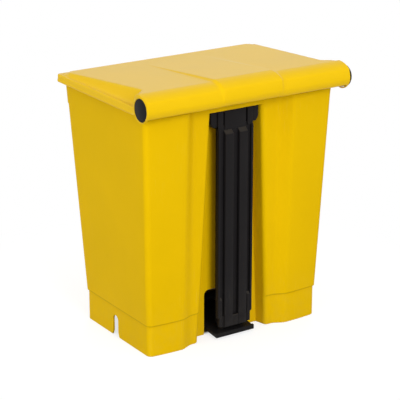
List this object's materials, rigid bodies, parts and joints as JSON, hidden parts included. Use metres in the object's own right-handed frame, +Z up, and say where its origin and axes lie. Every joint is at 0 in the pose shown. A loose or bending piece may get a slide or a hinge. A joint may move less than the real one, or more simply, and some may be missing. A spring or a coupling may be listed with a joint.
{
  "type": "pedal bin",
  "caption": "Tapered rectangular step-on waste container; a front pedal lever lifts a push column at the back that swings the lid up on its hinge barrel.",
  "frame": {"origin": "centre of the bounding box on the floor", "axes": "+Z up, -Y towards the user at the pedal, +Y towards the hinge and push column, +X to the right of someone facing +Y"},
  "size_m": [0.419, 0.405, 0.4805],
  "materials": {
    "yellow_body": "satin moulded polyethylene",
    "yellow_lid": "satin moulded polyethylene",
    "black_plastic": "fine moulded texture",
    "black_nylon": "fine moulded texture",
    "rubber": "ribbed, dull",
    "steel": "zinc plated",
    "spring_steel": "phosphated"
  },
  "bodies": {
    "container": {"body_shell": "yellow_body", "lever_axle": "steel", "axle_clip_left": "spring_steel", "axle_clip_right": "spring_steel"},
    "lid": {"lid_shell": "yellow_lid", "hinge_pin_left": "black_plastic", "hinge_pin_right": "black_plastic", "lid_crank": "steel", "crank_screw_1": "steel", "crank_screw_2": "steel", "crank_screw_3": "steel", "crank_screw_4": "steel", "crank_pin": "steel", "crank_clip_left": "spring_steel", "crank_clip_right": "spring_steel"},
    "column": {"lift_column": "black_plastic"},
    "pedal": {"pedal_lever": "black_nylon", "pedal_tread": "rubber", "tread_screw_left": "steel", "tread_screw_right": "steel"}
  },
  "joints": [
    {"name": "lid_hinge", "type": "hinge", "parent": "container", "child": "lid", "pos_m": [0, 0.178, 0.452], "axis": [-1, 0, 0], "range_deg": [0, 75]},
    {"name": "column_slide", "type": "slide", "parent": "container", "child": "column", "axis": [0, 0, 1], "range_m": [0, 0.02195]},
    {"name": "pedal_hinge", "type": "hinge", "parent": "container", "child": "pedal", "pos_m": [0, 0.0355, 0.031], "axis": [1, 0, 0], "range_deg": [0, 12.72]}
  ],
  "couplings": [
    {"joint": "column_slide", "follows": "lid_hinge", "m_per_rad": 0.016742},
    {"joint": "pedal_hinge", "follows": "lid_hinge", "ratio": 0.16925}
  ]
}
